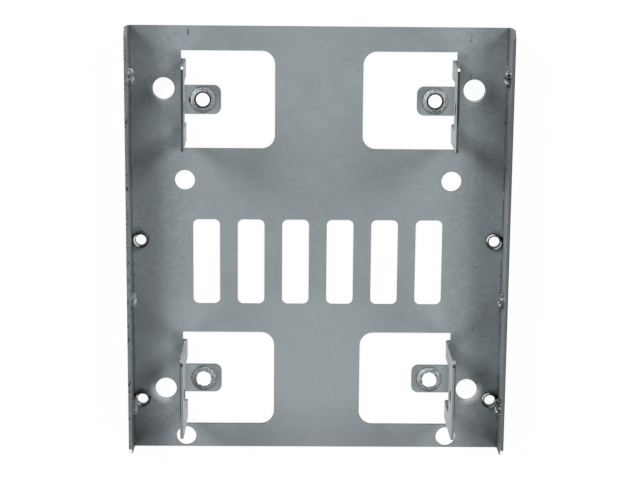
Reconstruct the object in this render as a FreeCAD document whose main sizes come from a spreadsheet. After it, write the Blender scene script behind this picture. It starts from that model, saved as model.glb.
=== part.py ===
import FreeCAD, Part
import math
import os
import Sketcher

# Drive bay adapter bracket: one sheet of zinc plated steel, cut out and folded.
# The flat plate lies on the ground. Two side flanges stand up along its long edges
# and meet the rails of a 3.5 inch bay. Inside, each of the four windows has a flap
# folded up along its outer edge, and a flat tab that stays in the plane of the plate
# and carries the drive, so that the sheet is a single solid.
# Frame: X across the bay, Y along the drive, +Z up, origin in the middle of the
# plate's underside. Only the +X half is drawn: the finished half is then mirrored.

SIZES = (
    # the sheet
    ("sheet", 0.8, "thickness of the sheet"),
    ("bend_in", 0.4, "radius on the inner side of each fold"),
    ("plate_len", 115.7, "plate, along the drive"),
    ("bay_wid", 101.6, "over both flanges, the width of a 3.5 inch drive"),
    ("flange_top", 10.0, "top edge of the side flanges"),
    ("flange_cut", 2.0, "corner chamfer at the ends of the flanges"),
    # the windows
    ("win_in", 11.7, "inner edge of the windows from the middle line"),
    ("win_len", 26.1, "windows, along the drive"),
    ("win_round", 3.6, "inner corners of the windows"),
    ("relief", 0.1, "window edge behind the start of the fold"),
    # the flaps
    ("drive_wid", 69.85, "width of a 2.5 inch drive"),
    ("drive_play", 0.35, "gap between a drive and each flap"),
    ("flap_len", 21.7, "flaps, along the drive"),
    ("flap_top", 22.0, "top edge of the flaps"),
    ("flap_cut", 0.8, "corner chamfer of the flaps"),
    ("flap_lean", 0.55, "how far the front pair leans in at its top edge"),
    ("gap_len", 12.4, "opening that the tab leaves in its flap, along the drive"),
    ("gap_top", 11.8, "upper edge of that opening"),
    ("side_screw_up", 17.0, "screw holes of the flaps, above the underside"),
    ("side_screw_rad", 1.65, "clearance hole for an M3 screw"),
    # the tabs
    ("drive_holes_wide", 61.72, "bottom holes of a 2.5 inch drive, across"),
    ("drive_holes_long", 76.6, "bottom holes of a 2.5 inch drive, along"),
    ("tab_tip", 4.8, "tab beyond its hole"),
    ("tab_wid", 7.7, "tab, along the drive"),
    ("tab_round", 1.9, "corners of the tab"),
    ("tab_hole_rad", 1.85, "hole of the tab"),
    ("tab_rim", 0.3, "chamfer of its upper rim"),
    ("dimple_rad", 3.5, "foot of the pressed dimple"),
    ("dimple_flat", 2.5, "flat top of the dimple"),
    ("dimple_up", 0.6, "rise of the dimple"),
    # the round holes for fans
    ("fan_big", 82.5, "hole spacing of a 92 mm fan"),
    ("fan_big_rad", 2.9, "its holes"),
    ("dish_wid", 1.6, "pressed rim round these holes"),
    ("dish_deep", 0.15, "how deep it falls at the hole"),
    ("fan_small", 71.5, "hole spacing of an 80 mm fan"),
    ("fan_small_rad", 2.7, "its holes"),
    ("fan_small_mid", 19.1, "its centre behind the middle of the plate"),
    # the row of slots
    ("slot_wid", 7.2, "slots, across"),
    ("slot_len", 23.3, "slots, along the drive"),
    ("slot_round", 1.5, "corners of the slots"),
    ("slot_step", 12.0, "from slot to slot"),
    ("slot_back", 5.65, "row of slots behind the middle of the plate"),
    ("slots_half", 3, "slots in each half"),
    # the tapped collars
    ("bore_rad", 1.5, "pitch line of the number 6-32 thread"),
    ("bore_lead", 0.4, "drawn mouth of each tapped hole"),
    ("collar_rad", 2.3, "drawn collars, outside"),
    ("collar_up", 1.1, "collars of the plate above the sheet"),
    ("collar_in", 1.3, "collars of the flanges inside the sheet"),
    ("collar_cut", 0.3, "chamfer of the free rims of all collars"),
    ("bay_holes_wide", 95.25, "bottom holes of a 3.5 inch drive, across"),
    ("bay_holes_long", 44.45, "bottom holes of a 3.5 inch drive, along"),
    ("bay_hole_y", 0.4, "front one of them before the middle of the plate"),
    ("rail_up", 6.35, "side holes of a 3.5 inch drive above its bottom"),
    ("rail_long", 60.0, "between the front two side holes"),
    ("rail_short", 29.5, "between the rear two side holes"),
    ("rail_y", 44.8, "front side hole before the middle of the plate"),
)

v = {name: value for name, value, note in SIZES}

doc = FreeCAD.newDocument("drive_bay_bracket")
dims = doc.addObject("Spreadsheet::Sheet", "dims")
for row, (name, value, note) in enumerate(SIZES, 1):
    dims.set("A%d" % row, name)
    dims.set("B%d" % row, str(value))
    dims.set("C%d" % row, note)
    dims.setAlias("B%d" % row, name)
doc.recompute()

body = doc.addObject("PartDesign::Body", "bracket")
body.Label = "bracket"
planes = {feature.Role: feature for feature in body.Origin.OriginFeatures}


def draw(name, plane, lift=None):
    # A sketch on one of the body's own origin planes, lifted along its normal.
    sketch = body.newObject("Sketcher::SketchObject", name)
    sketch.AttachmentSupport = [(planes[plane], "")]
    sketch.MapMode = "FlatFace"
    if lift:
        sketch.setExpression("AttachmentOffset.Base.z", lift)
    return sketch


def tie(sketch, kind, ends, now, formula):
    # A driving size of a sketch, tied to the sheet of sizes.
    index = sketch.addConstraint(Sketcher.Constraint(kind, *ends, now))
    sketch.setExpression("Constraints[%d]" % index, formula)


def pin(sketch, geo, point, x, y):
    # Holds a point: x and y are (number now, formula), None means zero.
    for kind, axis, place in (("DistanceX", -2, x), ("DistanceY", -1, y)):
        if place is None:
            sketch.addConstraint(Sketcher.Constraint("PointOnObject", geo, point, axis))
        else:
            tie(sketch, kind, (-1, 1, geo, point), *place)


def outline(sketch, corners):
    # A closed outline of straight lines, each corner tied to the sheet.
    first = sketch.GeometryCount
    spots = [FreeCAD.Vector(x[0] if x else 0, y[0] if y else 0, 0) for x, y in corners]
    for i, spot in enumerate(spots):
        sketch.addGeometry(Part.LineSegment(spot, spots[(i + 1) % len(spots)]), False)
    for i in range(len(spots)):
        after = first + (i + 1) % len(spots)
        sketch.addConstraint(Sketcher.Constraint("Coincident", first + i, 2, after, 1))
    for i, (x, y) in enumerate(corners):
        pin(sketch, first + i, 1, x, y)


def box(sketch, left, right, low, high):
    outline(sketch, ((left, low), (right, low), (right, high), (left, high)))


def disc(sketch, x, y, size):
    middle = FreeCAD.Vector(x[0], y[0], 0)
    geo = sketch.addGeometry(Part.Circle(middle, FreeCAD.Vector(0, 0, 1), v[size]), False)
    pin(sketch, geo, 3, x, y)
    tie(sketch, "Radius", (geo,), v[size], "dims." + size)


def extrude(kind, name, sketch, length, reverse=False, both=False):
    # Pad or pocket: what it adds or takes away is compared with the body before it.
    before = body.Shape.Volume if body.Tip else 0
    feature = body.newObject("PartDesign::" + kind, name)
    feature.Profile = sketch
    feature.setExpression("Length", length)
    feature.Reversed = reverse
    feature.SideType = "Symmetric" if both else "One side"
    body.Tip = feature
    doc.recompute()
    change = body.Shape.Volume - before
    if (change > 0) != (kind == "Pad") or abs(change) < 0.01:
        raise RuntimeError("%s changes nothing" % name)
    return feature


def dress(kind, name, size, formula, wanted):
    # A fillet or chamfer on the edges of the body that fit the description.
    base = body.Tip
    names = ["Edge%d" % (i + 1) for i, edge in enumerate(base.Shape.Edges) if wanted(edge)]
    feature = body.newObject("PartDesign::" + kind, name)
    feature.Base = (base, names)
    feature.setExpression(size, formula)
    body.Tip = feature
    doc.recompute()
    return feature


def turn_round(kind, name, sketch):
    # What a section makes, or takes away, turned about its own vertical axis.
    feature = body.newObject("PartDesign::" + kind, name)
    feature.Profile = sketch
    feature.ReferenceAxis = (sketch, ["V_Axis"])
    body.Tip = feature
    doc.recompute()


def near(a, b):
    return abs(a - b) < 0.001


def runs_along_y(edge, x, z):
    ends = edge.Vertexes
    return len(ends) == 2 and all(near(p.X, x) and near(p.Z, z) for p in ends)


def runs_up(edge, x, y):
    ends = edge.Vertexes
    return len(ends) == 2 and all(near(p.X, x) and near(p.Y, y) for p in ends)


def is_rim(edge, size, axis, place):
    # A round edge of this radius about an axis along x or z, at this place on it.
    curve = edge.Curve
    if curve.TypeId != "Part::GeomCircle" or not near(curve.Radius, v[size]):
        return False
    return near(abs(getattr(curve.Axis, axis)), 1) and near(getattr(curve.Center, axis), place)


def runs_across(edge, y, z):
    ends = edge.Vertexes
    return len(ends) == 2 and all(near(p.Y, y) and near(p.Z, z) for p in ends)


half_wid = (v["bay_wid"] / 2, "dims.bay_wid / 2")
half_len = (v["plate_len"] / 2, "dims.plate_len / 2")
sheet = (v["sheet"], "dims.sheet")
inner_wid = (half_wid[0] - sheet[0], "dims.bay_wid / 2 - dims.sheet")
flange_top = (v["flange_top"], "dims.flange_top")

# Plate and side flange: an L drawn across the bay and drawn out along the drive.
channel = draw("channel_section", "XZ_Plane")
outline(channel, (
    (None, None),
    (half_wid, None),
    (half_wid, flange_top),
    (inner_wid, flange_top),
    (inner_wid, sheet),
    (None, sheet),
))
extrude("Pad", "channel", channel, "dims.plate_len", both=True)
dress("Fillet", "channel_fold_outside", "Radius", "dims.bend_in + dims.sheet",
      lambda edge: runs_along_y(edge, half_wid[0], 0))
dress("Fillet", "channel_fold_inside", "Radius", "dims.bend_in",
      lambda edge: runs_along_y(edge, inner_wid[0], sheet[0]))
dress("Chamfer", "flange_corners", "Size", "dims.flange_cut",
      lambda edge: runs_across(edge, half_len[0], flange_top[0])
      or runs_across(edge, -half_len[0], flange_top[0]))

# Windows: their outer edge lies just behind the fold of the flap.
flap_face = (
    v["drive_wid"] / 2 + v["drive_play"],
    "dims.drive_wid / 2 + dims.drive_play",
)
flap_back = (flap_face[0] + sheet[0], flap_face[1] + " + dims.sheet")
win_in = (v["win_in"], "dims.win_in")
win_out = (
    flap_back[0] + v["bend_in"] + v["relief"],
    flap_back[1] + " + dims.bend_in + dims.relief",
)
pairs = (("front", 1, ""), ("rear", -1, "-"))


def beside(sign, share):
    # Y of a line at a share of a length before or behind a pair of drive holes.
    middle = sign * v["drive_holes_long"] / 2
    formula = ("" if sign > 0 else "-") + "dims.drive_holes_long / 2"
    if share is None:
        return (middle, formula)
    side, size = share
    return (middle + side * v[size] / 2, "%s %+d * dims.%s / 2" % (formula, side, size))


windows = draw("window_outlines", "XY_Plane")
for pair, sign, minus in pairs:
    box(windows, win_in, win_out, beside(sign, (-1, "win_len")), beside(sign, (1, "win_len")))
extrude("Pocket", "windows", windows, "2 * dims.sheet", reverse=True)
dress("Fillet", "window_corners", "Radius", "dims.win_round",
      lambda edge: any(runs_up(edge, win_in[0], beside(sign, (side, "win_len"))[0])
                       for sign in (1, -1) for side in (1, -1)))

# Flaps: each is drawn across the bay as the fold and the upright wall of its sheet.
# The front pair leans in a little, as it came from the press.
flap_top = (v["flap_top"], "dims.flap_top")
for pair, sign, minus in pairs:
    lean = (v["flap_lean"], " - dims.flap_lean") if sign > 0 else (0, "")
    other = "-" if sign > 0 else ""
    section = draw("flap_section_" + pair, "XZ_Plane", other + "dims.drive_holes_long / 2")
    outline(section, (
        (flap_face, None),
        (win_out, None),
        (win_out, sheet),
        (flap_back, sheet),
        ((flap_back[0] - lean[0], flap_back[1] + lean[1]), flap_top),
        ((flap_face[0] - lean[0], flap_face[1] + lean[1]), flap_top),
    ))
    extrude("Pad", "flap_" + pair, section, "dims.flap_len", both=True)
dress("Chamfer", "flap_corners", "Size", "dims.flap_cut",
      lambda edge: any(runs_across(edge, beside(sign, (side, "flap_len"))[0], flap_top[0])
                       for sign in (1, -1) for side in (1, -1)))
dress("Fillet", "flap_fold_outside", "Radius", "dims.bend_in + dims.sheet",
      lambda edge: runs_along_y(edge, flap_face[0], 0))
dress("Fillet", "flap_fold_inside", "Radius", "dims.bend_in",
      lambda edge: runs_along_y(edge, flap_back[0], sheet[0]))

# Through each flap: the opening that its tab came out of, and a screw hole above it.
openings = draw("flap_opening_outlines", "YZ_Plane", win_out[1])
for pair, sign, minus in pairs:
    box(openings, beside(sign, (-1, "gap_len")), beside(sign, (1, "gap_len")),
        (-v["sheet"], "-dims.sheet"), (v["gap_top"], "dims.gap_top"))
    disc(openings, beside(sign, None), (v["side_screw_up"], "dims.side_screw_up"),
         "side_screw_rad")
extrude("Pocket", "flap_openings", openings,
        "3 * dims.sheet + dims.bend_in + dims.relief + dims.flap_lean")

# Tabs: flat tongues in the plane of the plate, with a dimple round the screw hole.
tab_hole_x = (v["drive_holes_wide"] / 2, "dims.drive_holes_wide / 2")
tab_tip = (tab_hole_x[0] - v["tab_tip"], tab_hole_x[1] + " - dims.tab_tip")
tabs = draw("tab_outlines", "XY_Plane")
for pair, sign, minus in pairs:
    box(tabs, tab_tip, win_out, beside(sign, (-1, "tab_wid")), beside(sign, (1, "tab_wid")))
    disc(tabs, tab_hole_x, beside(sign, None), "dimple_rad")
extrude("Pad", "tabs", tabs, "dims.sheet")
dress("Fillet", "tab_corners", "Radius", "dims.tab_round",
      lambda edge: any(runs_up(edge, tab_tip[0], beside(sign, (side, "tab_wid"))[0])
                       for sign in (1, -1) for side in (1, -1)))
foot = (v["dimple_rad"], "dims.dimple_rad")
flat = (v["dimple_flat"], "dims.dimple_flat")
slope = (foot[0] - flat[0], "(dims.dimple_rad - dims.dimple_flat)")
rim = (v["tab_hole_rad"], "dims.tab_hole_rad")
rise = (v["dimple_up"], "dims.dimple_up")
dimple_top = (sheet[0] + rise[0], "dims.sheet + dims.dimple_up")
for pair, sign, minus in pairs:
    other = "-" if sign > 0 else ""
    dimple = draw("dimple_section_" + pair, "XZ_Plane", other + "dims.drive_holes_long / 2")
    dimple.setExpression("AttachmentOffset.Base.x", "dims.drive_holes_wide / 2")
    outline(dimple, (
        (foot, None),
        (foot, sheet),
        (flat, dimple_top),
        (rim, dimple_top),
        (rim, rise),
        ((flat[0] - slope[0] / 2, "%s - %s / 2" % (flat[1], slope[1])), rise),
        ((foot[0] - slope[0] / 2, "%s - %s / 2" % (foot[1], slope[1])), None),
    ))
    turn_round("Revolution", "dimple_" + pair, dimple)
dress("Chamfer", "tab_hole_rims", "Size", "dims.tab_rim",
      lambda edge: is_rim(edge, "tab_hole_rad", "z", dimple_top[0]))

# Round holes for the two sizes of fan.
fans = draw("fan_hole_outlines", "XY_Plane")
for pair, sign, minus in pairs:
    disc(fans, (v["fan_big"] / 2, "dims.fan_big / 2"),
         (sign * v["fan_big"] / 2, minus + "dims.fan_big / 2"), "fan_big_rad")
    disc(fans, (v["fan_small"] / 2, "dims.fan_small / 2"),
         (sign * v["fan_small"] / 2 - v["fan_small_mid"],
          minus + "dims.fan_small / 2 - dims.fan_small_mid"), "fan_small_rad")
extrude("Pocket", "fan_holes", fans, "2 * dims.sheet", reverse=True)
hole_edge = (v["fan_big_rad"], "dims.fan_big_rad")
dish_edge = (v["fan_big_rad"] + v["dish_wid"], "dims.fan_big_rad + dims.dish_wid")
dish_foot = (sheet[0] - v["dish_deep"], "dims.sheet - dims.dish_deep")
for pair, sign, minus in pairs:
    other = "-" if sign > 0 else ""
    dish = draw("dish_section_" + pair, "XZ_Plane", other + "dims.fan_big / 2")
    dish.setExpression("AttachmentOffset.Base.x", "dims.fan_big / 2")
    outline(dish, ((hole_edge, dish_foot), (dish_edge, sheet), (hole_edge, sheet)))
    turn_round("Groove", "dish_" + pair, dish)

# Row of slots: one is cut and its corners rounded in its own outline, then repeated.
slot = draw("slot_outline", "XY_Plane")
side = v["slot_wid"] / 2
end = v["slot_len"] / 2
turn = v["slot_round"]
mid = FreeCAD.Vector(v["slot_step"] / 2, -v["slot_back"], 0)
path = (
    ((side, turn - end), (side, end - turn)),
    ((side - turn, end), (turn - side, end)),
    ((-side, end - turn), (-side, turn - end)),
    ((turn - side, -end), (side - turn, -end)),
)
for start, stop in path:
    slot.addGeometry(Part.LineSegment(mid + FreeCAD.Vector(*start), mid + FreeCAD.Vector(*stop)),
                     False)
for i, (sx, sy) in enumerate(((1, 1), (-1, 1), (-1, -1), (1, -1))):
    centre = mid + FreeCAD.Vector(sx * (side - turn), sy * (end - turn), 0)
    round_off = Part.Circle(centre, FreeCAD.Vector(0, 0, 1), turn)
    quarter = math.pi / 2
    slot.addGeometry(Part.ArcOfCircle(round_off, i * quarter, (i + 1) * quarter), False)
for i in range(4):
    slot.addConstraint(Sketcher.Constraint("Tangent", i, 2, 4 + i, 1))
    slot.addConstraint(Sketcher.Constraint("Tangent", 4 + i, 2, (i + 1) % 4, 1))
slot.addConstraint(Sketcher.Constraint("Vertical", 0))
slot.addConstraint(Sketcher.Constraint("Vertical", 2))
slot.addConstraint(Sketcher.Constraint("Horizontal", 1))
slot.addConstraint(Sketcher.Constraint("Horizontal", 3))
for i in (5, 6, 7):
    slot.addConstraint(Sketcher.Constraint("Equal", 4, i))
tie(slot, "Radius", (4,), turn, "dims.slot_round")
tie(slot, "DistanceX", (-1, 1, 0, 1), mid.x + side, "(dims.slot_step + dims.slot_wid) / 2")
tie(slot, "DistanceX", (-1, 1, 2, 1), mid.x - side, "(dims.slot_step - dims.slot_wid) / 2")
tie(slot, "DistanceY", (-1, 1, 1, 1), mid.y + end, "dims.slot_len / 2 - dims.slot_back")
tie(slot, "DistanceY", (-1, 1, 3, 1), mid.y - end, "-dims.slot_len / 2 - dims.slot_back")
first_slot = extrude("Pocket", "slot", slot, "2 * dims.sheet", reverse=True)
slots = body.newObject("PartDesign::LinearPattern", "slots")
slots.Originals = [first_slot]
slots.Direction = (planes["X_Axis"], [""])
slots.Mode = "Spacing"
slots.setExpression("Offset", "dims.slot_step")
slots.setExpression("Occurrences", "dims.slots_half")
body.Tip = slots
doc.recompute()

# Tapped collars of the plate, on the bottom hole pattern of a 3.5 inch drive.
bay_x = (v["bay_holes_wide"] / 2, "dims.bay_holes_wide / 2")
bay_ys = (
    (v["bay_hole_y"], "dims.bay_hole_y"),
    (v["bay_hole_y"] - v["bay_holes_long"], "dims.bay_hole_y - dims.bay_holes_long"),
)
rings = draw("plate_collar_outlines", "XY_Plane", "dims.sheet")
bores = draw("plate_bore_outlines", "XY_Plane")
for y in bay_ys:
    disc(rings, bay_x, y, "collar_rad")
    disc(bores, bay_x, y, "bore_rad")
extrude("Pad", "plate_collars", rings, "dims.collar_up")
dress("Chamfer", "plate_collar_rims", "Size", "dims.collar_cut",
      lambda edge: is_rim(edge, "collar_rad", "z", sheet[0] + v["collar_up"]))
extrude("Pocket", "plate_bores", bores, "dims.sheet + 2 * dims.collar_up", reverse=True)

# Tapped collars of the flanges, on the side hole pattern of a 3.5 inch drive.
rail_z = (v["rail_up"], "dims.rail_up")
rail_ys = (
    (v["rail_y"], "dims.rail_y"),
    (v["rail_y"] - v["rail_long"], "dims.rail_y - dims.rail_long"),
    (v["rail_y"] - v["rail_long"] - v["rail_short"],
     "dims.rail_y - dims.rail_long - dims.rail_short"),
)
rings = draw("flange_collar_outlines", "YZ_Plane", inner_wid[1])
bores = draw("flange_bore_outlines", "YZ_Plane", half_wid[1])
for y in rail_ys:
    disc(rings, y, rail_z, "collar_rad")
    disc(bores, y, rail_z, "bore_rad")
extrude("Pad", "flange_collars", rings, "dims.collar_in", reverse=True)
dress("Chamfer", "flange_collar_rims", "Size", "dims.collar_cut",
      lambda edge: is_rim(edge, "collar_rad", "x", inner_wid[0] - v["collar_in"]))
extrude("Pocket", "flange_bores", bores, "dims.sheet + 2 * dims.collar_in")

# The drawn mouth of each tapped hole, on the outside of the sheet.
dress("Chamfer", "bore_mouths", "Size", "dims.bore_lead",
      lambda edge: is_rim(edge, "bore_rad", "z", 0) or is_rim(edge, "bore_rad", "x", half_wid[0]))

# The other half.
whole = body.newObject("PartDesign::Mirrored", "other_half")
whole.TransformMode = "Whole shape"
whole.MirrorPlane = (planes["YZ_Plane"], [""])
whole.Refine = True
body.Tip = whole
doc.recompute()

broken = [item.Name for item in doc.Objects if {"Invalid", "Error"} & set(item.State)]
if broken:
    raise RuntimeError("not built: " + ", ".join(broken))
shape = body.Shape
if shape.isNull() or not shape.isValid() or len(shape.Solids) != 1:
    raise RuntimeError("the sheet is not one sound solid")

os.makedirs("parts", exist_ok=True)
shape.exportStep("parts/%s.step" % body.Label)
print("%s: %.1f mm3, %s" % (body.Label, shape.Volume, shape.BoundBox))
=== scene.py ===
import bpy
import math
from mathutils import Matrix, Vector


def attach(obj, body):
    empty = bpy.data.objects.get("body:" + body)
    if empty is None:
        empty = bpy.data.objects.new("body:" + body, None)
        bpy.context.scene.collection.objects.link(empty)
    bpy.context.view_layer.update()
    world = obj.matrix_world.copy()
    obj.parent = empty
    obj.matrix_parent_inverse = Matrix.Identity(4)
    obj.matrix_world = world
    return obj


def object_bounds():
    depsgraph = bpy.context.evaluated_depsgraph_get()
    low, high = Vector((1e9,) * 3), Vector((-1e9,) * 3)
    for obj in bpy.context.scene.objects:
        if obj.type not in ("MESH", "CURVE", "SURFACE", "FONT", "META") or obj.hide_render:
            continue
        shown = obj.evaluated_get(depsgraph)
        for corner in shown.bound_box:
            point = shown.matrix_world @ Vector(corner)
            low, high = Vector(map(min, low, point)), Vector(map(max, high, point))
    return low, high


# A drive bay adapter bracket: one sheet of zinc plated steel, cut out and folded,
# lying on a white table and seen from above. Its front is the +Y end.

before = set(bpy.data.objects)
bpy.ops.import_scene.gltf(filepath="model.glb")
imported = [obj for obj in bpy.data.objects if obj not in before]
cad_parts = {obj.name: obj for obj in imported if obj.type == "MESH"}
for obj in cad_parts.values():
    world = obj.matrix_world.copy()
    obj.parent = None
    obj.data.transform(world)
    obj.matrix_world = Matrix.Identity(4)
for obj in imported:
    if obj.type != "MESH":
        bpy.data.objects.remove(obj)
cad_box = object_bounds()

# Camera. It looks down on the plate from above its front edge, tilted by about
# 12 degrees, with the front edge at the top of the picture.
MM = 0.001
LENS = 97.3
SENSOR = 36.0
CAMERA_AT = Vector((-6.99, 93.88, 458.39)) * MM
CAMERA_TURN = (-11.545, -0.842, 0.524)

camera = bpy.data.objects.new("camera", bpy.data.cameras.new("camera"))
bpy.context.scene.collection.objects.link(camera)
camera.location = CAMERA_AT
camera.rotation_euler = [math.radians(angle) for angle in CAMERA_TURN]
camera.data.lens = LENS
camera.data.sensor_width = SENSOR
bpy.context.scene.camera = camera
bpy.context.scene.view_settings.view_transform = "Standard"

# Table. A matt white sheet of paper under the bracket. Straight to the camera, and in
# the steel's reflections, it shows as plain white with only a faint shadow on it.
TABLE_SIZE = 1.6
TABLE_GAP = 0.02 * MM
TABLE_WHITE = "#F4F4F4"
PLAIN_WHITE = "#FFFFFF"
SHADOW_SHARE = 0.05


def linear(code):
    # The linear colour of an sRGB hex value.
    shares = [int(code[i:i + 2], 16) / 255 for i in (1, 3, 5)]
    return [s / 12.92 if s <= 0.04045 else ((s + 0.055) / 1.055) ** 2.4 for s in shares] + [1.0]


def add_node(tree, kind, inputs=None, **settings):
    # One node with its settings. What feeds an input is a number, a colour, another node
    # or one of its outputs.
    node = tree.nodes.new(kind)
    for name, value in settings.items():
        setattr(node, name, value)
    for name, value in (inputs or {}).items():
        if isinstance(value, bpy.types.Node):
            value = value.outputs[0]
        if isinstance(value, bpy.types.NodeSocket):
            tree.links.new(value, node.inputs[name])
        else:
            node.inputs[name].default_value = value
    return node


bpy.ops.object.select_all(action="DESELECT")
bpy.ops.mesh.primitive_plane_add(size=TABLE_SIZE, location=(0, 0, cad_box[0][2] - TABLE_GAP))
table = bpy.context.object
table.name = "table"
table_paper = bpy.data.materials.new("matt_white_table")
table_paper.use_nodes = True
tree = table_paper.node_tree
tree.nodes.clear()
paper = add_node(tree, "ShaderNodeBsdfDiffuse", {"Color": linear(TABLE_WHITE)})
shine = add_node(tree, "ShaderNodeEmission", {"Color": linear(PLAIN_WHITE), "Strength": 1.0})
rays = add_node(tree, "ShaderNodeLightPath")
seen = add_node(tree, "ShaderNodeMath", {0: rays.outputs["Is Camera Ray"],
                                         1: rays.outputs["Is Glossy Ray"]}, operation="MAXIMUM")
share = add_node(tree, "ShaderNodeMath", {0: seen, 1: 1 - SHADOW_SHARE}, operation="MULTIPLY")
mix = add_node(tree, "ShaderNodeMixShader", {0: share, 1: paper, 2: shine})
add_node(tree, "ShaderNodeOutputMaterial", {"Surface": mix})
table.data.materials.append(table_paper)

# Light. Two large soft panels before the front of the bracket, left and right, and two
# weak ones behind it. Straight above, where the camera hangs, the room is dim. A white
# wall closes it towards the front and shines low over the table.
ROOM_GLOW = 0.16
WALL_GLOW = 2.6
WALL_HEIGHT = 0.2
WALL_SIDES = (0.3, 0.9)
PANELS = (
    # name, heading and height in degrees, distance and size in metres, watts
    ("front_right_panel", 39, 31, 1.2, 0.45, 11.2),
    ("front_left_panel", 141, 32, 1.2, 0.45, 13.4),
    ("rear_right_panel", 315, 33, 0.7, 0.3, 1.8),
    ("rear_left_panel", 225, 33, 0.7, 0.3, 1.6),
)

room = bpy.data.worlds.new("room")
bpy.context.scene.world = room
room.use_nodes = True
tree = room.node_tree
tree.nodes.clear()
direction = add_node(tree, "ShaderNodeTexCoord")
parts = add_node(tree, "ShaderNodeSeparateXYZ", {0: direction.outputs["Generated"]})
low = add_node(tree, "ShaderNodeMapRange", {
    "Value": parts.outputs["Z"], "From Min": 0.0, "From Max": WALL_HEIGHT,
    "To Min": 1.0, "To Max": 0.0}, interpolation_type="SMOOTHSTEP")
ahead = add_node(tree, "ShaderNodeMapRange", {
    "Value": parts.outputs["Y"], "From Min": WALL_SIDES[0], "From Max": WALL_SIDES[1]})
wall = add_node(tree, "ShaderNodeMath", {0: low, 1: ahead}, operation="MULTIPLY")
glow = add_node(tree, "ShaderNodeMapRange", {
    "Value": wall, "To Min": ROOM_GLOW, "To Max": WALL_GLOW})
sky = add_node(tree, "ShaderNodeBackground", {"Color": linear(PLAIN_WHITE), "Strength": glow})
add_node(tree, "ShaderNodeOutputWorld", {"Surface": sky})
for name, heading, rise, distance, size, power in PANELS:
    heading = math.radians(heading)
    rise = math.radians(rise)
    lamp = bpy.data.objects.new(name, bpy.data.lights.new(name, "AREA"))
    bpy.context.scene.collection.objects.link(lamp)
    lamp.location = distance * Vector((math.cos(rise) * math.cos(heading),
                                       math.cos(rise) * math.sin(heading), math.sin(rise)))
    lamp.rotation_euler = (-lamp.location).to_track_quat("-Z", "Y").to_euler()
    lamp.data.size = size
    lamp.data.energy = power

# The sheet. Cold rolled steel, 0.8 mm, cut out and folded and then zinc plated. The
# plated faces are a dull blue grey with a faint grain, and painted shade darkens the inner
# folds. The cut edges are dark, rough and speckled.
ZINC = "#91999C"
ZINC_METAL = 0.8
ZINC_ROUGH = 0.68
SHEET = 0.8 * MM
FLANGE_IN = 50.0 * MM
FLAP_FACES = (34.2 * MM, 36.52 * MM)
FLAP_TOP = 22.0 * MM
EDGE_SOFT = 0.02 * MM
NORMAL_SOFT = 0.01
FAR = 1.0

steel = bpy.data.materials.new("zinc_plated_steel")
steel.use_nodes = True
tree = steel.node_tree
tree.nodes.clear()
place = add_node(tree, "ShaderNodeTexCoord")
spot = add_node(tree, "ShaderNodeSeparateXYZ", {0: place.outputs["Object"]})
facing = add_node(tree, "ShaderNodeSeparateXYZ", {0: place.outputs["Normal"]})
x = spot.outputs["X"]
y = spot.outputs["Y"]
height = spot.outputs["Z"]
across = add_node(tree, "ShaderNodeMath", {0: x}, operation="ABSOLUTE")
along = add_node(tree, "ShaderNodeMath", {0: y}, operation="ABSOLUTE")
side_on = add_node(tree, "ShaderNodeMath", {0: facing.outputs["X"]}, operation="ABSOLUTE")
end_on = add_node(tree, "ShaderNodeMath", {0: facing.outputs["Y"]}, operation="ABSOLUTE")
flat_on = add_node(tree, "ShaderNodeMath", {0: facing.outputs["Z"]}, operation="ABSOLUTE")


def band(value, low, high, soft=EDGE_SOFT):
    # A mask: 1 where a coordinate lies between two limits, with soft ends outside them.
    # FAR as a limit, a metre from the middle, stands for none.
    rise = add_node(tree, "ShaderNodeMapRange", {
        "Value": value, "From Min": low - soft, "From Max": low})
    fall = add_node(tree, "ShaderNodeMapRange", {
        "Value": value, "From Min": high, "From Max": high + soft, "To Min": 1.0, "To Max": 0.0})
    return overlap(rise, fall)


def overlap(*masks):
    # The mask of what all the masks share.
    shared = masks[0]
    for mask in masks[1:]:
        shared = add_node(tree, "ShaderNodeMath", {0: shared, 1: mask}, operation="MULTIPLY")
    return shared


def joined(*masks):
    # The mask of what any of the masks covers.
    whole = masks[0]
    for mask in masks[1:]:
        whole = add_node(tree, "ShaderNodeMath", {0: whole, 1: mask}, operation="MAXIMUM")
    return whole


def away_from(x_at, y_at, east, north):
    # How far a point lies from an upright axis.
    point = add_node(tree, "ShaderNodeCombineXYZ", {0: east, 1: north})
    return add_node(tree, "ShaderNodeVectorMath", {0: point, 1: (x_at, y_at, 0)},
                    operation="DISTANCE").outputs["Value"]


# Rolled faces: both sides of the plate, the flanges and the flaps, with the folds between
# them. The rest of the surface is cut. A face is level or steep by the upright or the
# sideways part of its normal.
LEVEL = (0.8, 1.0)
STEEP = (0.55, 1.0)
PRESSED_TOP = 1.9 * SHEET
FOLD_START = FLANGE_IN - 0.45 * MM

low_down = band(height, -FAR, PRESSED_TOP)
level = overlap(band(flat_on, *LEVEL, NORMAL_SOFT), low_down)
upright = band(side_on, *STEEP, NORMAL_SOFT)
flange_face = overlap(upright, band(across, FOLD_START, FAR))
flap_face = overlap(upright, band(across, *FLAP_FACES))
rolled = joined(level, flange_face, flap_face)
cut = add_node(tree, "ShaderNodeMath", {0: 1.0, 1: rolled}, operation="SUBTRACT")

# Grain of the plating: soft clouds, fine grit, short streaks along the rolling direction,
# which runs across the bay, and a coarser mottle outside the windows. The real grit and
# streaks are a few hundredths of a millimetre, too fine to show, and are drawn coarser.
CLOUD_SIZE = 5.0 * MM
GRIT_SIZE = 0.5 * MM
STREAK_SIZE = 0.9 * MM
STREAK_STRETCH = 0.15
MOTTLE_SIZE = 1.1 * MM
BESIDE_WINDOWS = (36.6 * MM, FAR, 1.0 * MM)
NOISE_SPAN = (0.3, 0.7)

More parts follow.
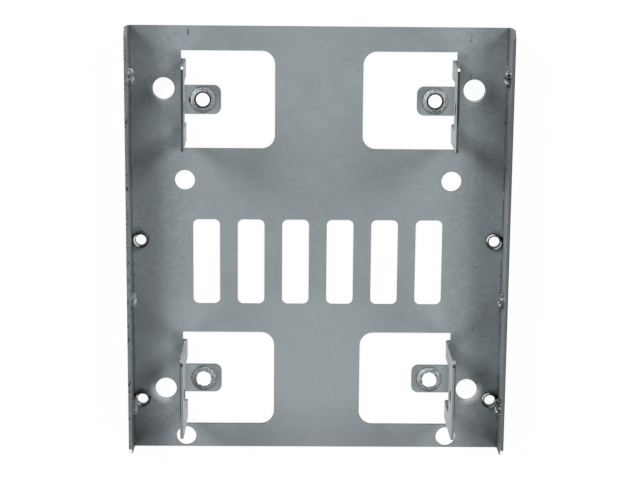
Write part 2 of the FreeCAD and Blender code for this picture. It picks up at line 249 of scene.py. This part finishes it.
clouds = add_node(tree, "ShaderNodeTexNoise", {
    "Vector": place.outputs["Object"], "Scale": 1 / CLOUD_SIZE, "Detail": 2.0})
grit = add_node(tree, "ShaderNodeTexNoise", {
    "Vector": place.outputs["Object"], "Scale": 1 / GRIT_SIZE, "Detail": 2.0})
stretched = add_node(tree, "ShaderNodeVectorMath", {
    0: place.outputs["Object"], 1: (STREAK_STRETCH, 1, 1)}, operation="MULTIPLY")
streaks = add_node(tree, "ShaderNodeTexNoise", {
    "Vector": stretched, "Scale": 1 / STREAK_SIZE, "Detail": 2.0})
mottle = add_node(tree, "ShaderNodeTexNoise", {
    "Vector": place.outputs["Object"], "Scale": 1 / MOTTLE_SIZE, "Detail": 3.0})
beside_windows = band(across, *BESIDE_WINDOWS)
mottle_outside = add_node(tree, "ShaderNodeMix", {0: beside_windows, 2: 0.5, 3: mottle},
                          data_type="FLOAT")
GRAIN = (
    # texture, and the share of the tone by which it swings
    (clouds, 0.05),
    (grit, 0.11),
    (streaks, 0.05),
    (mottle_outside, 0.16),
)
swings = [add_node(tree, "ShaderNodeMapRange", {
    "Value": texture, "From Min": NOISE_SPAN[0], "From Max": NOISE_SPAN[1],
    "To Min": 1 - share / 2, "To Max": 1 + share / 2}) for texture, share in GRAIN]
tone = overlap(*swings)

# Halves of the bracket, and the side and the end that a point lies on.
side_sign = add_node(tree, "ShaderNodeMath", {0: x}, operation="SIGN")
end_sign = add_node(tree, "ShaderNodeMath", {0: y}, operation="SIGN")
front_half = band(y, 0.0, FAR, MM)
rear_half = band(y, -FAR, 0.0, MM)
right_half = band(x, 0.0, FAR, MM)
left_half = band(x, -FAR, 0.0, MM)

# Painted shade: a broken dark line in the inner folds, low on the inner faces of the flanges,
# at the plate's four corners and along its rear edge; painted light makes the plate paler in
# the rear half. Here and below, a band is its two ends and, where they are soft, their softness.
FOLD_BAND = (SHEET - 0.02 * MM, 1.25 * MM)
FLANGE_FOLD = (FLANGE_IN - 0.25 * MM, FLANGE_IN - 0.02 * MM, 0.15 * MM)
FRONT_LEFT_FOLD = 0.65
FLAP_FOLD = (36.1 * MM, 36.5 * MM, 0.1 * MM)
INNER_LEGS = (27.5 * MM, 32.1 * MM)
OUTER_LEGS = (44.5 * MM, 49.1 * MM)
BLOT_BAND = (FLANGE_IN - 0.3 * MM, FLANGE_IN, 0.3 * MM)
FLANGE_INSIDE = (FLANGE_IN - 0.3 * MM, FLANGE_IN + 0.05 * MM)
LEFT_SHADE_BAND = (SHEET, 5.0 * MM, 4.0 * MM)
RIGHT_SHADE_BAND = (SHEET, 2.0 * MM, 2.5 * MM)
REAR_PALE_LONG = (-44.0 * MM, -18.0 * MM, 6.0 * MM)
REAR_PALE_WIDE = (-49.0 * MM, 33.0 * MM, 3.0 * MM)
REAR_EDGE_SHADE = (-FAR, -54.0 * MM, 3.0 * MM)
CORNER_START = 36.5 * MM
CORNER_TOP = 9.0 * MM
REAR_CORNER = (-38.0 * MM, -58.0 * MM)
FRONT_CORNER = (50.0 * MM, 58.0 * MM)
FRONT_CORNER_SHARE = 0.6
LEFT_TO_RIGHT = (-30.0 * MM, 30.0 * MM)
RIGHT_CORNER_SHARE = 0.7

patches = add_node(tree, "ShaderNodeMapRange", {
    "Value": clouds, "From Min": 0.35, "From Max": 0.5, "To Min": 0.35})
blots = add_node(tree, "ShaderNodeMapRange", {
    "Value": mottle, "From Min": 0.47, "From Max": 0.4})
stretches = add_node(tree, "ShaderNodeMapRange", {
    "Value": clouds, "From Min": 0.47, "From Max": 0.57})
flange_fold = overlap(band(across, *FLANGE_FOLD),
                      joined(right_half, rear_half, FRONT_LEFT_FOLD))
flap_fold = overlap(band(across, *FLAP_FOLD),
                    joined(band(along, *INNER_LEGS), band(along, *OUTER_LEGS)))
fold_blots = overlap(band(across, *BLOT_BAND), blots, stretches)
folds = overlap(joined(overlap(joined(flange_fold, flap_fold), patches), fold_blots),
                band(height, *FOLD_BAND))
flange_inside = overlap(upright, band(across, *FLANGE_INSIDE))
left_inside = overlap(flange_inside, left_half, band(height, *LEFT_SHADE_BAND))
right_inside = overlap(flange_inside, right_half, patches, band(height, *RIGHT_SHADE_BAND))
rear_pale = overlap(band(y, *REAR_PALE_LONG), band(x, *REAR_PALE_WIDE), level)
rear_edge_shade = overlap(band(y, *REAR_EDGE_SHADE), level)
towards_edge = add_node(tree, "ShaderNodeMapRange", {
    "Value": across, "From Min": CORNER_START, "From Max": FLANGE_IN},
    interpolation_type="SMOOTHSTEP")
towards_rear = add_node(tree, "ShaderNodeMapRange", {
    "Value": y, "From Min": REAR_CORNER[0], "From Max": REAR_CORNER[1]},
    interpolation_type="SMOOTHSTEP")
towards_front = add_node(tree, "ShaderNodeMapRange", {
    "Value": y, "From Min": FRONT_CORNER[0], "From Max": FRONT_CORNER[1],
    "To Max": FRONT_CORNER_SHARE})
towards_left = add_node(tree, "ShaderNodeMapRange", {
    "Value": x, "From Min": LEFT_TO_RIGHT[0], "From Max": LEFT_TO_RIGHT[1],
    "To Min": 1.0, "To Max": RIGHT_CORNER_SHARE})
corners = overlap(towards_edge, joined(towards_rear, towards_front), towards_left,
                  band(height, -FAR, CORNER_TOP))

# Flaps: painted light makes the inner faces pale, palest on the rear leg of each and towards
# the top of the rear pair, and painted shade darkens the plate at their foot.
INWARD = (-1.0, -0.55)
FLAP_FOOT = 1.5 * MM
PALE_FRONT_PAIR = (20.0 * MM, 32.5 * MM, 1.0 * MM)
PALE_REAR_PAIR = (-FAR, -44.0 * MM, 1.0 * MM)
PALE_REAR_TOP = (18.0 * MM, FAR, 5.0 * MM)
SHADE_WIDE = (36.5 * MM, 38.0 * MM, 2.5 * MM)
SHADE_FRONT = (26.0 * MM, 50.0 * MM, 2.0 * MM)
SHADE_REAR = (-42.0 * MM, -26.0 * MM, 2.0 * MM)

outward = add_node(tree, "ShaderNodeMath", {0: facing.outputs["X"], 1: side_sign},
                   operation="MULTIPLY")
flap_inside = overlap(flap_face, band(outward, *INWARD, NORMAL_SOFT),
                      band(height, FLAP_FOOT, FAR))
palest_inside = overlap(flap_inside, joined(band(y, *PALE_FRONT_PAIR), band(y, *PALE_REAR_PAIR),
                                            overlap(band(height, *PALE_REAR_TOP), rear_half)))
flap_shade = overlap(band(across, *SHADE_WIDE), level,
                     joined(band(y, *SHADE_FRONT), band(y, *SHADE_REAR)))

# Screw holes of the tabs: a fine line of painted shade at the foot of the dimple, drag marks
# of the punch over it, and a painted highlight in a crescent on its upper left, with painted
# shade on the inner side of the rear left one. The rim of the front pair is painted dark as
# shade; that of the rear pair is painted bright as a reflection, with a few nicks.
TAB_HOLE = (30.86 * MM, 38.3 * MM)
TAB_RINGS = {
    # from, to and softness, in millimetres from the hole's axis
    "rim": (1.7, 2.2, 0.06),
    "bright_rim_reflection": (1.7, 2.08, 0.06),
    "nicks": (1.95, 2.3, 0.08),
    "foot": (3.35, 3.5, 0.12),
    "dragged": (2.0, 3.5, 0.2),
    "dimple_highlight": (2.5, 3.1, 0.25),
    "inner_line": (2.45, 2.55, 0.1),
    "outer_line": (2.95, 3.05, 0.1),
    "shade_arc": (2.0, 3.3, 0.3),
    "dimple": (2.1, 3.4, 0.15),
}
HIGHLIGHT_SIDE = (2.6 * MM, FAR, 1.6 * MM)
DIMPLE_SHADE_SIDE = (-FAR, -1.2 * MM, 1.2 * MM)

from_tab = away_from(*TAB_HOLE, across, along)
tab_ring = {name: band(from_tab, start * MM, end * MM, soft * MM)
            for name, (start, end, soft) in TAB_RINGS.items()}
nick = add_node(tree, "ShaderNodeMapRange", {
    "Value": grit, "From Min": 0.52, "From Max": 0.58})
drag = add_node(tree, "ShaderNodeMapRange", {
    "Value": streaks, "From Min": 0.35, "From Max": 0.6, "To Min": 1.0, "To Max": 0.0})
dimple_pits = add_node(tree, "ShaderNodeMapRange", {
    "Value": grit, "From Min": 0.5, "From Max": 0.4})
dimple_grains = add_node(tree, "ShaderNodeMapRange", {
    "Value": grit, "From Min": 0.52, "From Max": 0.6})
tab_east = add_node(tree, "ShaderNodeMath", {0: side_sign, 1: -TAB_HOLE[0], 2: x},
                    operation="MULTIPLY_ADD")
tab_north = add_node(tree, "ShaderNodeMath", {0: end_sign, 1: -TAB_HOLE[1], 2: y},
                     operation="MULTIPLY_ADD")
tab_upper_left = add_node(tree, "ShaderNodeMath", {0: tab_north, 1: tab_east},
                          operation="SUBTRACT")
highlight_side = overlap(band(tab_upper_left, *HIGHLIGHT_SIDE), low_down)
tab_rim = overlap(tab_ring["rim"], front_half, low_down)
bright_rim_reflection = overlap(tab_ring["bright_rim_reflection"], rear_half, low_down)
nicks = overlap(tab_ring["nicks"], rear_half, low_down, nick)
foot = overlap(tab_ring["foot"], low_down)
dragged = overlap(tab_ring["dragged"], drag)
dimple_highlight = overlap(tab_ring["dimple_highlight"], highlight_side)
highlight_lines = overlap(joined(tab_ring["inner_line"], tab_ring["outer_line"]), highlight_side)
dimple_shade = overlap(tab_ring["shade_arc"], low_down, left_half, rear_half,
                    band(tab_east, *DIMPLE_SHADE_SIDE))
dimple = overlap(tab_ring["dimple"], low_down)

# Large fan holes: a painted highlight on the side of the rim that lies outwards and to the
# rear: two thin lines with painted shade between them at the front pair, a soft crescent at the
# rear pair.
FAN_HOLE = 41.25 * MM
FAN_RINGS = {
    # from, to and softness, in millimetres from the hole's axis
    "rim_highlight": (2.0, 2.9, 1.8),
    "rim_glare": (2.0, 3.1, 0.6),
    "bore": (2.8, 3.0, 0.02),
    "line": (3.05, 3.3, 0.08),
    "groove": (3.4, 3.55, 0.1),
    "outer_line": (3.75, 3.85, 0.15),
}
RIM_SIDE = (1.0 * MM, 4.0 * MM)

from_fan = away_from(FAN_HOLE, FAN_HOLE, across, along)
fan_ring = {name: band(from_fan, start * MM, end * MM, soft * MM)
            for name, (start, end, soft) in FAN_RINGS.items()}
fan_north = add_node(tree, "ShaderNodeMath", {0: end_sign, 1: -FAN_HOLE, 2: y},
                     operation="MULTIPLY_ADD")
fan_out = add_node(tree, "ShaderNodeMath", {0: across, 1: FAN_HOLE}, operation="SUBTRACT")
fan_outer_rear = add_node(tree, "ShaderNodeMath", {0: fan_out, 1: fan_north},
                          operation="SUBTRACT")
rim_side = add_node(tree, "ShaderNodeMapRange", {
    "Value": fan_outer_rear, "From Min": RIM_SIDE[0], "From Max": RIM_SIDE[1]})
rear_rim = overlap(rim_side, level, rear_half)
front_rim = overlap(rim_side, level, front_half)
rim_highlight = overlap(fan_ring["rim_highlight"], rear_rim)
rim_glare = overlap(fan_ring["rim_glare"], rear_rim)
fan_bore = overlap(cut, fan_ring["bore"])
rim_line = overlap(fan_ring["line"], front_rim)
rim_groove = overlap(fan_ring["groove"], front_rim)
outer_line = overlap(fan_ring["outer_line"], front_rim)

# Tapped collars of the plate: a dark line of painted shade round the mouth, painted glints on
# two sides of the crest, and a painted black shadow at the foot, in the corner towards the flange.
COLLARS = ((47.625 * MM, 0.4 * MM), (47.625 * MM, -44.05 * MM))
COLLAR_RINGS = {
    # from, to and softness, in millimetres from the hole's axis
    "foot": (2.0, 3.0, 0.3),
    "mouth": (1.4, 1.66, 0.06),
    "right_glint": (1.8, 2.08, 0.06),
    "left_glint": (1.58, 2.0, 0.06),
}
FOOT_BAND = (SHEET - 0.05 * MM, 2.2 * MM)
MOUTH_BAND = (SHEET + 0.5 * MM, 2.5 * MM)
GLINT_BAND = (1.55 * MM, 2.5 * MM)
FOOT_HALF = 0.9 * MM
FOOT_HALF_SOFT = 0.7 * MM
FOOT_START = 1.0 * MM
FOOT_START_SOFT = 0.2 * MM
GLINT_HALF = 1.6 * MM
GLINT_SOFT = 0.6 * MM
LEFT_GLINT_START = 0.8 * MM
LEFT_GLINT_END = 0.9 * MM
LEFT_GLINT_SOFT = 0.5 * MM

foot_shadows = []
mouths = []
glints = []
for x_at, y_at in COLLARS:
    from_collar = away_from(x_at, y_at, across, y)
    collar_ring = {name: band(from_collar, start * MM, end * MM, soft * MM)
                   for name, (start, end, soft) in COLLAR_RINGS.items()}
    diagonal = add_node(tree, "ShaderNodeMath", {0: across, 1: y}, operation="ADD")
    sideways = band(diagonal, x_at + y_at - GLINT_HALF, x_at + y_at + GLINT_HALF, GLINT_SOFT)
    foot_shadows.append(overlap(collar_ring["foot"],
                        band(y, y_at - FOOT_HALF, y_at + FOOT_HALF, FOOT_HALF_SOFT),
                        band(across, x_at + FOOT_START, FLANGE_IN, FOOT_START_SOFT)))
    mouths.append(collar_ring["mouth"])
    glints.append(overlap(collar_ring["right_glint"], sideways, right_half))
    glints.append(overlap(collar_ring["left_glint"], left_half,
                          band(across, x_at + LEFT_GLINT_START, FAR, LEFT_GLINT_SOFT),
                          band(y, -FAR, y_at + LEFT_GLINT_END, LEFT_GLINT_SOFT)))
collar_shadow = overlap(joined(*foot_shadows), band(height, *FOOT_BAND))
collar_mouth = overlap(joined(*mouths), band(height, *MOUTH_BAND))
collar_glint = overlap(joined(*glints), band(height, *GLINT_BAND))

# Marks of use: scratches and pits of the plate's upper face.
MARK_DEEP = 0.3 * MM
MARKS = (
    # middle, half length and half width in millimetres, turn in degrees, depth of tone
    (-34.7, 56.2, 1.2, 0.22, 90, 0.85),
    (40.2, 55.4, 1.2, 0.12, 92, 0.5),
    (40.1, 54.3, 0.25, 0.22, 0, 0.7),
    (40.3, 44.8, 0.9, 0.14, 88, 0.75),
    (-45.4, 27.4, 0.22, 0.18, 20, 0.6),
    (-47.8, 48.4, 0.25, 0.2, 0, 0.6),
    (-40.0, 54.8, 1.5, 0.5, 125, 0.12),
    (-34.3, 38.2, 0.95, 0.36, 90, 1.0),
    (42.9, -6.9, 0.3, 0.22, 40, 0.6),
    (42.2, -8.0, 0.22, 0.18, 0, 0.5),
    (44.7, -16.1, 0.25, 0.15, 30, 0.5),
    (45.5, -17.1, 0.3, 0.18, -40, 0.6),
    (46.3, -18.2, 0.25, 0.18, 0, 0.5),
    (42.5, -24.0, 0.8, 0.14, 80, 0.6),
    (46.4, -26.2, 3.6, 0.12, -4, 0.35),
    (39.0, -45.0, 2.2, 0.08, 90, 0.3),
    (40.3, -44.8, 1.5, 0.08, 90, 0.3),
    (49.6, 32.8, 0.5, 0.2, 60, 0.9),
    (-12.0, 21.5, 0.3, 0.2, 10, 0.3),
    (8.5, -33.0, 0.25, 0.18, 60, 0.3),
)

scratched = []
for x_at, y_at, length, width, turn, depth in MARKS:
    local = add_node(tree, "ShaderNodeMapping", {
        "Vector": place.outputs["Object"], "Location": (x_at * MM, y_at * MM, SHEET),
        "Rotation": (0, 0, math.radians(turn)),
        "Scale": (length * MM, width * MM, MARK_DEEP)}, vector_type="TEXTURE")
    reach = add_node(tree, "ShaderNodeVectorMath", {0: local}, operation="LENGTH")
    scratched.append(add_node(tree, "ShaderNodeMapRange", {
        "Value": reach.outputs["Value"], "From Min": 0.5, "From Max": 1.1, "To Min": depth,
        "To Max": 0.0}))

# Cut edges: broken, speckled metal. The slanting corners of the front ends of the flaps
# and the rear ends of the flanges are painted bright as a reflection.
SPECK_SIZE = 0.35 * MM
SLANT = (0.6, 0.8)
FRONTWARD = (0.5, 1.0)
REARWARD = (-1.0, -0.5)
FLAP_CORNER = (FLAP_TOP - 0.72 * MM, FLAP_TOP - 0.12 * MM)
FRONT_FLAP_CORNER = (34.0 * MM, 35.2 * MM, 0.1 * MM)
FLANGE_EDGE = FLANGE_IN - 0.1 * MM

specks = add_node(tree, "ShaderNodeTexNoise", {
    "Vector": place.outputs["Object"], "Scale": 1 / SPECK_SIZE, "Detail": 1.0})
speck = add_node(tree, "ShaderNodeMapRange", {
    "Value": specks, "From Min": 0.5, "From Max": 0.62})
fine_notch = add_node(tree, "ShaderNodeMapRange", {
    "Value": specks, "From Min": 0.44, "From Max": 0.36})
chamfer = overlap(band(end_on, *SLANT, NORMAL_SOFT), band(flat_on, *SLANT, NORMAL_SOFT))
flap_corner = overlap(band(height, *FLAP_CORNER),
                      band(facing.outputs["Y"], *FRONTWARD, NORMAL_SOFT),
                      joined(rear_half, band(across, *FRONT_FLAP_CORNER)))
flange_corner = overlap(band(across, FLANGE_EDGE, FAR),
                        band(facing.outputs["Y"], *REARWARD, NORMAL_SOFT))
bright_corner = overlap(chamfer, joined(flap_corner, flange_corner))

# Top edges of the flaps: painted shade makes those of the front pair dark, partly lighter,
# and painted light makes those of the rear pair light, with a dark outer line and a notch.
# Their ends are lighter, that of the rear left flap lighter still as painted light, apart from
# the sides of three legs, painted dark as shade; the bores of their screw holes are painted
# black as shade.
TOP_EDGE = FLAP_TOP - 1.2 * MM
LIGHTER_LEFT = 0.6
LIGHTER_BAND = (0.0, 34.0 * MM, 2.0 * MM)
FRONT_TOP_OUTSIDE = (35.28 * MM, 35.6 * MM, 0.06 * MM)
REAR_TOP_OUTSIDE = (35.85 * MM, 36.2 * MM)
REAR_TOP_NOTCH = (-29.3 * MM, -28.4 * MM)
REAR_LINE_BAND = (-43.0 * MM, 0.0, 1.0 * MM)
REAR_LINE_END = 0.35
END_ON = (0.8, 1.0)
END_FOOT = 2.0 * MM
LEG_SIDE_UP = (7.0 * MM, FAR, 2.0 * MM)
FRONT_LEG_SIDE = (31.6 * MM, 32.6 * MM)
REAR_LEG_SIDE = (-45.0 * MM, -44.0 * MM)
BORE_UP = (15.2 * MM, 18.8 * MM)
BORE_ALONG = (36.5 * MM, 40.1 * MM)

flap_zone = overlap(cut, band(across, *FLAP_FACES))
flap_top = overlap(flap_zone, band(height, TOP_EDGE, FAR))
front_flap_top = overlap(flap_top, front_half)
rear_flap_top = overlap(flap_top, rear_half)
lighter_flap_top = overlap(front_flap_top, joined(overlap(left_half, LIGHTER_LEFT),
                                               band(y, *LIGHTER_BAND)))
front_top_outside = overlap(front_flap_top, band(across, *FRONT_TOP_OUTSIDE))
rear_top_line = overlap(rear_flap_top,
                        joined(band(across, *REAR_TOP_OUTSIDE), band(y, *REAR_TOP_NOTCH)),
                        joined(band(y, *REAR_LINE_BAND), REAR_LINE_END))
flap_end = overlap(flap_zone, band(end_on, *END_ON, NORMAL_SOFT), band(height, END_FOOT, FAR))
leg_side = overlap(flap_end, band(height, *LEG_SIDE_UP),
                   joined(band(y, *FRONT_LEG_SIDE),
                          overlap(band(y, *REAR_LEG_SIDE), right_half)))
flap_bore = overlap(flap_zone, band(height, *BORE_UP), band(along, *BORE_ALONG))

# Collars of the flanges: torn, silvery metal, painted lighter on the left as light, with
# painted glints of the thread and on a few listed spots, black notches and black spots.
SWARF_SIZE = 0.8 * MM
RAIL_COLLAR = (48.6 * MM, FLANGE_IN - 0.02 * MM)
RAIL_COLLAR_UP = (2.4 * MM, 12.0 * MM)
REAR_COLLARS = (-FAR, -30.0 * MM, 1.0 * MM)
CHIP_SOFT = 0.12 * MM
GLINT_SPOTS = (
    # middle and radius in millimetres
    (49.0, 44.1, 0.3),
    (48.75, -15.5, 0.2),
    (49.3, -14.1, 0.2),
    (-48.8, -15.3, 0.2),
    (49.5, -44.2, 0.22),
    (48.95, -45.25, 0.22),
)
BLACK_CHIPS = (
    # middle and radius in millimetres
    (48.9, 45.2, 0.3),
    (49.6, 45.15, 0.25),
    (48.75, -14.6, 0.3),
    (49.15, -44.75, 0.25),
)

swarf = add_node(tree, "ShaderNodeTexNoise", {
    "Vector": place.outputs["Object"], "Scale": 1 / SWARF_SIZE, "Detail": 1.0})
glint = add_node(tree, "ShaderNodeMapRange", {
    "Value": swarf, "From Min": 0.57, "From Max": 0.61})
notch = add_node(tree, "ShaderNodeMapRange", {
    "Value": swarf, "From Min": 0.44, "From Max": 0.4})
glint_spots, black_chips = [
    joined(*[band(away_from(x_at * MM, y_at * MM, x, y), -MM, radius * MM, CHIP_SOFT)
             for x_at, y_at, radius in chips]) for chips in (GLINT_SPOTS, BLACK_CHIPS)]
rail_collar = overlap(band(across, *RAIL_COLLAR), band(height, *RAIL_COLLAR_UP))
right_rail_collar = overlap(rail_collar, right_half)
left_rail_collar = overlap(rail_collar, left_half)
end_collars = joined(front_half, band(y, *REAR_COLLARS))
rail_glint = overlap(rail_collar, joined(overlap(glint, joined(right_half, front_half)),
                                         glint_spots))
right_notch = overlap(right_rail_collar, joined(overlap(notch, end_collars), black_chips))

# Top edges of the flanges: the right one is smooth and grey with a dark outer line, the
# left one broken, with dark notches.
FLANGE_TOP_FROM = FLANGE_IN - 0.05 * MM
FLANGE_TOP_UP = 7.8 * MM
TOP_LINE_FROM = 50.62 * MM

flange_top = overlap(cut, band(across, FLANGE_TOP_FROM, FAR), band(height, FLANGE_TOP_UP, FAR))
left_flange_top = overlap(flange_top, left_half)
right_flange_top = overlap(flange_top, right_half)
right_top_line = overlap(right_flange_top, band(across, TOP_LINE_FROM, FAR))

# Colour of the sheet, with painted light and shade laid in. Each layer of colour lies over
# the ones before it, from the plating upwards. Cut and bare metal is smoother than the
# plating, except on the collars' crests, which carry painted glints, and the grit gives the
# whole sheet a fine bump.
LAYERS = (
    # mask, colour and share
    # Painted light and shade of the plate: paler in the rear half, darker at the rear edge and
    # corners
    (rear_pale, "#9FA7AA", 0.4),
    (rear_edge_shade, "#6F777A", 0.15),
    (corners, "#3F4547", 0.6),
    # Painted highlights and shade round the rims of the fan holes
    (rim_highlight, "#E4E8EA", 0.85),
    (rim_glare, "#FCFDFD", 0.4),
    (rim_line, "#F4F6F7", 0.6),
    (rim_groove, "#3A3F42", 0.35),
    (outer_line, "#C9CFD1", 0.3),
    (dragged, "#565C5F", 0.35),
    # Painted highlight on the upper left of the tabs' dimples
    (dimple_highlight, "#B9C1C2", 0.3),
    (highlight_lines, "#D5DADC", 0.35),
    (overlap(dimple, dimple_pits), "#565C5F", 0.5),
    (overlap(dimple, dimple_grains), "#C4CBCC", 0.4),
    # Painted shade on the inner side of the rear left dimple and in the crease at each dimple's
    # foot
    (dimple_shade, "#454B4E", 0.6),
    (foot, "#3A3F42", 0.5),
    (joined(*scratched), "#1C2022", 1.0),
    # Painted shade low on the inner faces of the flanges
    (left_inside, "#4A5053", 0.6),
    (right_inside, "#4A5053", 0.45),
    # Painted light on the inner faces of the flaps, painted shade on the plate at their foot
    (flap_inside, "#B4ACAD", 0.4),
    (palest_inside, "#D8D2D6", 0.2),
    (flap_shade, "#5E6568", 0.35),
    # Painted shade in the inner folds
    (folds, "#2A2F31", 0.65),
    (cut, "#3C4143", 1.0),
    (left_flange_top, "#9A9D9E", 0.8),
    (overlap(cut, speck), "#8C8985", 0.55),
    (fan_bore, "#B4BABC", 0.8),
    (overlap(left_flange_top, fine_notch), "#3A3C3D", 0.6),
    (overlap(left_flange_top, notch, stretches), "#1E2022", 0.8),
    (flap_end, "#80868A", 0.6),
    # Painted light on the end of the rear left flap, painted shade on the sides of three legs
    (overlap(flap_end, left_half, rear_half), "#C8C4CA", 0.8),
    (leg_side, "#1A1D1F", 0.8),
    # Painted shade on the top edges of the front flaps, partly lighter
    (front_flap_top, "#303437", 0.75),
    (lighter_flap_top, "#6A6F72", 0.6),
    (front_top_outside, "#7E8588", 0.8),
    # Painted light on the top edges of the rear flaps
    (rear_flap_top, "#A3A8AB", 0.8),
    (rear_top_line, "#2F3335", 0.85),
    # Painted shade in the bores of the flaps' screw holes
    (flap_bore, "#0E1012", 0.95),
    (right_flange_top, "#787D80", 0.85),
    (right_top_line, "#43474A", 0.6),
    # Rims of the tab holes: painted shade at the front pair, a painted reflection at the rear pair
    (tab_rim, "#08090A", 1.0),
    (bright_rim_reflection, "#F4F5F5", 1.0),
    (nicks, "#1E2123", 0.8),
    # Collars of the flanges, painted lighter on the left as light
    (right_rail_collar, "#787E81", 0.9),
    (left_rail_collar, "#A2A8AC", 0.9),
    (right_notch, "#101315", 0.9),
    (overlap(left_rail_collar, notch), "#2C3032", 0.5),
    # Painted glints of the flanges' collars
    (rail_glint, "#FFFFFF", 1.0),
    # Painted shadow at the foot, painted shade round the mouth and painted glints of the plate's
    # collars
    (collar_shadow, "#0C0E10", 0.95),
    (collar_mouth, "#181B1D", 0.85),
    (collar_glint, "#FFFFFF", 0.85),
    # Painted reflection on the slanting corners of the cut edges
    (bright_corner, "#EEF0F0", 1.0),
)
CUT_ROUGH = 0.5
BARE_ROUGH = 0.15
TORN_ROUGH = 0.3
CREST_ROUGH = 0.75
GRAIN_BUMP = 0.35
GRAIN_DEPTH = 0.02 * MM

colour = add_node(tree, "ShaderNodeVectorMath", {0: linear(ZINC)[:3], "Scale": tone},
                  operation="SCALE")
for mask, code, share in LAYERS:
    laid = add_node(tree, "ShaderNodeMath", {0: mask, 1: share}, operation="MULTIPLY")
    colour = add_node(tree, "ShaderNodeMix", {0: laid, 6: colour, 7: linear(code)},
                      data_type="RGBA").outputs[2]
rough = ZINC_ROUGH
for mask, value in ((rim_highlight, CUT_ROUGH), (cut, CUT_ROUGH), (rail_glint, TORN_ROUGH),
                    (collar_glint, CREST_ROUGH), (bright_corner, BARE_ROUGH)):
    rough = add_node(tree, "ShaderNodeMix", {0: mask, 2: rough, 3: value}, data_type="FLOAT")
uneven = add_node(tree, "ShaderNodeBump", {
    "Strength": GRAIN_BUMP, "Distance": GRAIN_DEPTH, "Height": grit})
surface = add_node(tree, "ShaderNodeBsdfPrincipled", {
    "Base Color": colour, "Metallic": ZINC_METAL, "Roughness": rough, "Normal": uneven})
add_node(tree, "ShaderNodeOutputMaterial", {"Surface": surface})
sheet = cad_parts["bracket"]
sheet.data.materials.clear()
sheet.data.materials.append(steel)

# Threads. Each tapped hole has the ridge of a number 6-32 thread, cut by a tap: one
# steel helix between the drilled core and the pitch line, closed at both ends. The cut
# steel is brighter than the plating, streaked in light and dark grey.
THREAD_PITCH = 25.4 / 32 * MM
THREAD_CREST = 1.44 * MM
THREAD_ROOT = 1.53 * MM
THREAD_MIDDLE = (THREAD_CREST + THREAD_ROOT) / 2
ROOT_HEIGHT = 0.84 * THREAD_PITCH
CREST_SHARE = 0.24
THREAD_TURNS = 1.4
THREAD_STEPS = 28
THREAD_SMOOTH = 35
PLATE_THREAD_LOW = 0.46 * MM
FLANGE_THREAD_OUT = 50.34 * MM
RAIL_HOLES = (44.8 * MM, -15.2 * MM, -44.7 * MM)
RAIL_UP = 6.35 * MM
TAP_DARK = "#5E6568"
TAP_LIGHT = "#B4B9BB"
TAP_ROUGH = 0.35

tapped = bpy.data.materials.new("tapped_steel")
tapped.use_nodes = True
tree = tapped.node_tree
tree.nodes.clear()
place = add_node(tree, "ShaderNodeTexCoord")
tap_marks = add_node(tree, "ShaderNodeTexNoise", {
    "Vector": place.outputs["Object"], "Scale": 1 / SPECK_SIZE, "Detail": 2.0})
streaky = add_node(tree, "ShaderNodeMix", {0: tap_marks, 6: linear(TAP_DARK), 7: linear(TAP_LIGHT)},
                   data_type="RGBA")
surface = add_node(tree, "ShaderNodeBsdfPrincipled", {
    "Base Color": streaky.outputs[2], "Metallic": 1.0, "Roughness": TAP_ROUGH})
add_node(tree, "ShaderNodeOutputMaterial", {"Surface": surface})

# The section of the ridge is an upright plane primitive, stretched to the height of the
# root and narrowed at the crest. The Screw modifier turns it about the hole's axis.
bpy.ops.object.select_all(action="DESELECT")
bpy.ops.mesh.primitive_plane_add(size=ROOT_HEIGHT, location=(THREAD_MIDDLE, 0, 0),
                                 rotation=(math.pi / 2, 0, 0))
ridge = bpy.context.object
ridge.name = "thread_pattern"
bpy.ops.object.transform_apply(location=True, rotation=True, scale=True)
bpy.ops.object.mode_set(mode="EDIT")
bpy.ops.transform.resize(value=((THREAD_ROOT - THREAD_CREST) / ROOT_HEIGHT, 1, 1),
                         center_override=(THREAD_MIDDLE, 0, 0))
bpy.ops.mesh.select_all(action="DESELECT")
bpy.ops.object.mode_set(mode="OBJECT")
for corner in ridge.data.vertices:
    corner.select = corner.co.x < THREAD_MIDDLE
bpy.ops.object.mode_set(mode="EDIT")
bpy.ops.transform.resize(value=(1, 1, CREST_SHARE), center_override=(THREAD_CREST, 0, 0))
bpy.ops.mesh.select_all(action="SELECT")
bpy.ops.mesh.delete(type="ONLY_FACE")
bpy.ops.object.mode_set(mode="OBJECT")
turning = ridge.modifiers.new("turning", "SCREW")
turning.axis = "Z"
turning.angle = math.radians(360 * THREAD_TURNS)
turning.screw_offset = THREAD_PITCH * THREAD_TURNS
turning.steps = round(THREAD_STEPS * THREAD_TURNS)
turning.render_steps = turning.steps
bpy.ops.object.modifier_apply(modifier="turning")
bpy.ops.object.mode_set(mode="EDIT")
bpy.ops.mesh.select_all(action="SELECT")
bpy.ops.mesh.fill_holes(sides=4)
bpy.ops.mesh.normals_make_consistent(inside=False)
bpy.ops.object.mode_set(mode="OBJECT")
ridge.data.materials.append(tapped)

# The copies stand upright in the plate's collars and lie on their side in the flanges'.
TAPPED_HOLES = [((side * x_at, y_at, PLATE_THREAD_LOW), 0.0)
                for x_at, y_at in COLLARS for side in (1, -1)]
TAPPED_HOLES += [((side * FLANGE_THREAD_OUT, y_at, RAIL_UP), -side * math.pi / 2)
                 for y_at in RAIL_HOLES for side in (1, -1)]
for number, (thread_at, turn) in enumerate(TAPPED_HOLES, 1):
    thread = ridge.copy()
    thread.data = ridge.data.copy()
    thread.name = "thread_%d" % number
    bpy.context.scene.collection.objects.link(thread)
    thread.location = thread_at
    thread.rotation_euler = (0, turn, 0)
    bpy.ops.object.select_all(action="DESELECT")
    thread.select_set(True)
    bpy.context.view_layer.objects.active = thread
    bpy.ops.object.transform_apply(location=True, rotation=True, scale=True)
    bpy.ops.object.shade_smooth_by_angle(angle=math.radians(THREAD_SMOOTH))
    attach(thread, "root")
bpy.data.objects.remove(ridge)
